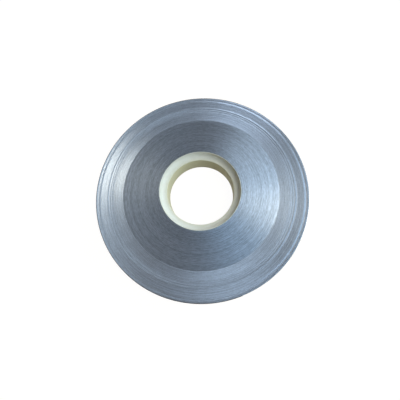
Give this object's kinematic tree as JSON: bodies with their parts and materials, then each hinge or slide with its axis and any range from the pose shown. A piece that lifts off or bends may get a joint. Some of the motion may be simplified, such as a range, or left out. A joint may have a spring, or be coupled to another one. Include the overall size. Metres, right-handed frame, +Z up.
{
  "type": "coil of nickel-plated strip",
  "caption": "Flat pancake coil of bright nickel-plated metal strip, wound on a pale moulded plastic core with a straight bore and a coved recess in its upper end.",
  "frame": {"origin": "on the coil's axis, at the level of the floor that the core's foot and the lowest turns lie on", "axes": "+Z up along the coil's axis, towards the recessed end of the core; the part is round, so X and Y are free"},
  "size_m": [0.236, 0.236, 0.0283],
  "materials": {
    "nickel_plate": "bright nickel plating; the cut edges of the turns give a fine ring-shaped sheen on both end faces",
    "core_plastic": "moulded ivory plastic, smooth and slightly waxy"
  },
  "bodies": {
    "root": {"strip_coil": "nickel_plate", "core": "core_plastic"}
  },
  "joints": []
}
